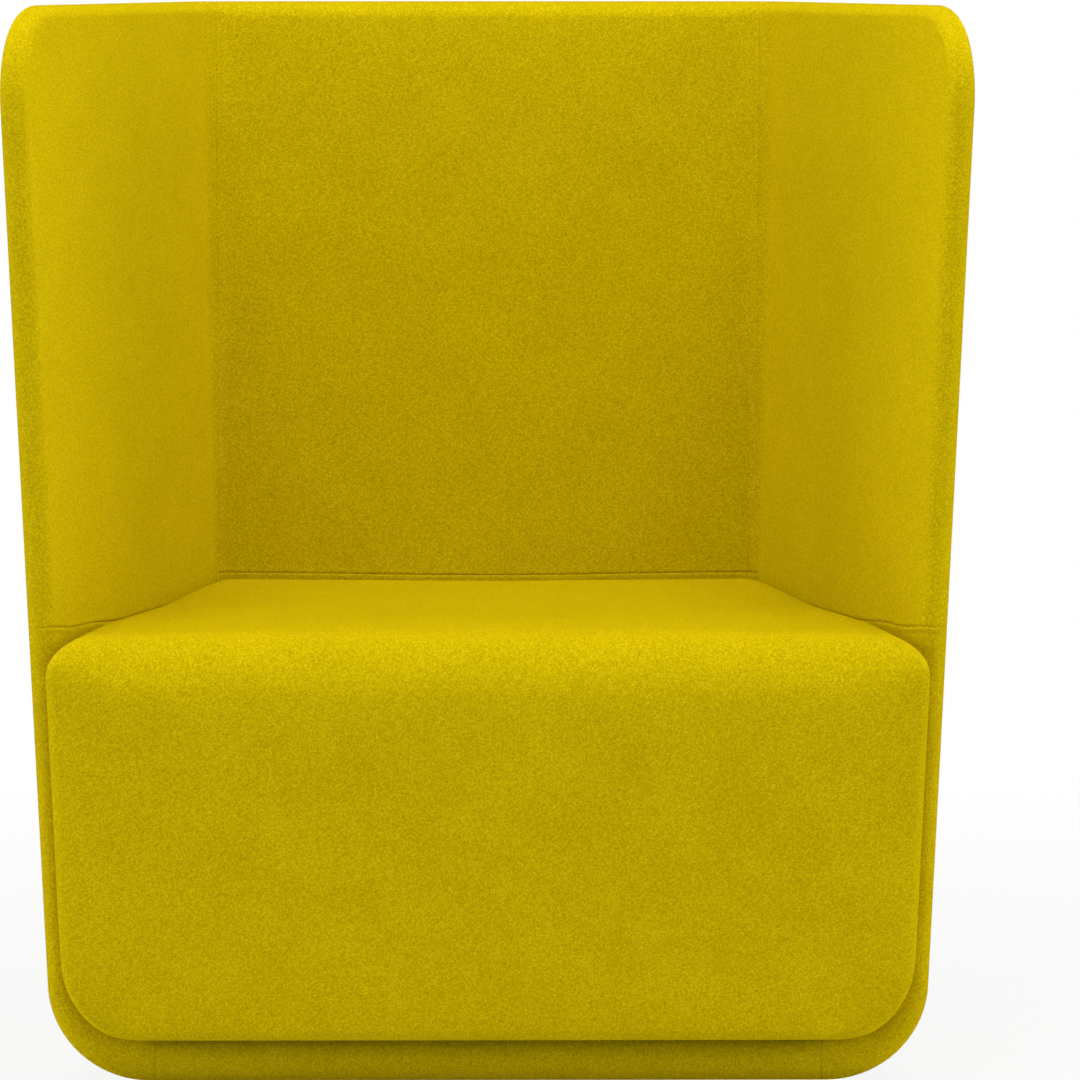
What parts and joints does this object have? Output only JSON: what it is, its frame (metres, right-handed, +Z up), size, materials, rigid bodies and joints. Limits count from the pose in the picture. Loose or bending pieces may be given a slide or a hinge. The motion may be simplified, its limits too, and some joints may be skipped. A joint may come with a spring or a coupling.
{
  "type": "acoustic high back lounge chair",
  "caption": "High back lounge chair: a felt covered tub with splayed wings and rounded edges round an upholstered seat block, on levelling glides.",
  "frame": {"origin": "middle of the chair's footprint, on the floor, with the levelling glides screwed right in", "axes": "+Z up, the chair faces -Y, +X to the left hand of a person sitting in it"},
  "size_m": [0.9678, 0.7294, 1.086],
  "materials": {
    "wool_felt": "dense milled wool felt, yellow green melange",
    "pu_foam": "cold cured polyurethane foam",
    "birch_ply": "raw birch plywood",
    "dust_cloth": "black spunbond cloth",
    "zinc_steel": "zinc plated steel",
    "black_nylon": "moulded black nylon"
  },
  "bodies": {
    "chair_body": {"back_inner_cover": "wool_felt", "back_inner_foam": "pu_foam", "back_outer_cover": "wool_felt", "back_outer_foam": "pu_foam", "back_ply_panel": "birch_ply", "back_seat_well_lining": "wool_felt", "base_ply_panel": "birch_ply", "front_edge_cover": "wool_felt", "front_edge_foam": "pu_foam", "glide_insert_front_left": "zinc_steel", "glide_insert_front_right": "zinc_steel", "glide_insert_rear_left": "zinc_steel", "glide_insert_rear_right": "zinc_steel", "left_inner_cover": "wool_felt", "left_inner_foam": "pu_foam", "left_outer_cover": "wool_felt", "left_outer_foam": "pu_foam", "left_ply_panel": "birch_ply", "left_seat_well_lining": "wool_felt", "lower_left_corner_strap": "zinc_steel", "lower_right_corner_strap": "zinc_steel", "right_inner_cover": "wool_felt", "right_inner_foam": "pu_foam", "right_outer_cover": "wool_felt", "right_outer_foam": "pu_foam", "right_ply_panel": "birch_ply", "right_seat_well_lining": "wool_felt", "seat_barrel_nut_front_left": "zinc_steel", "seat_barrel_nut_front_right": "zinc_steel", "seat_barrel_nut_rear_left": "zinc_steel", "seat_barrel_nut_rear_right": "zinc_steel", "seat_base_board": "birch_ply", "seat_bolt_front_left": "zinc_steel", "seat_bolt_front_right": "zinc_steel", "seat_bolt_rear_left": "zinc_steel", "seat_bolt_rear_right": "zinc_steel", "seat_centre_brace": "birch_ply", "seat_core_foam": "pu_foam", "seat_cover": "wool_felt", "seat_deck": "birch_ply", "seat_dust_cloth": "dust_cloth", "seat_front_batten": "birch_ply", "seat_front_foam": "pu_foam", "seat_front_rail": "birch_ply", "seat_left_foam": "pu_foam", "seat_left_rail": "birch_ply", "seat_rear_batten": "birch_ply", "seat_rear_foam": "pu_foam", "seat_rear_rail": "birch_ply", "seat_right_foam": "pu_foam", "seat_right_rail": "birch_ply", "seat_top_foam": "pu_foam", "underside_dust_cover": "dust_cloth", "upper_left_corner_strap": "zinc_steel", "upper_right_corner_strap": "zinc_steel"},
    "glide_front_left_body": {"glide_front_left": "black_nylon"},
    "glide_front_right_body": {"glide_front_right": "black_nylon"},
    "glide_rear_left_body": {"glide_rear_left": "black_nylon"},
    "glide_rear_right_body": {"glide_rear_right": "black_nylon"}
  },
  "joints": [
    {"name": "glide_front_left_screw", "type": "slide", "parent": "chair_body", "child": "glide_front_left_body", "axis": [0, 0, -1], "range_m": [0, 0.01]},
    {"name": "glide_front_right_screw", "type": "slide", "parent": "chair_body", "child": "glide_front_right_body", "axis": [0, 0, -1], "range_m": [0, 0.01]},
    {"name": "glide_rear_left_screw", "type": "slide", "parent": "chair_body", "child": "glide_rear_left_body", "axis": [0, 0, -1], "range_m": [0, 0.01]},
    {"name": "glide_rear_right_screw", "type": "slide", "parent": "chair_body", "child": "glide_rear_right_body", "axis": [0, 0, -1], "range_m": [0, 0.01]}
  ]
}
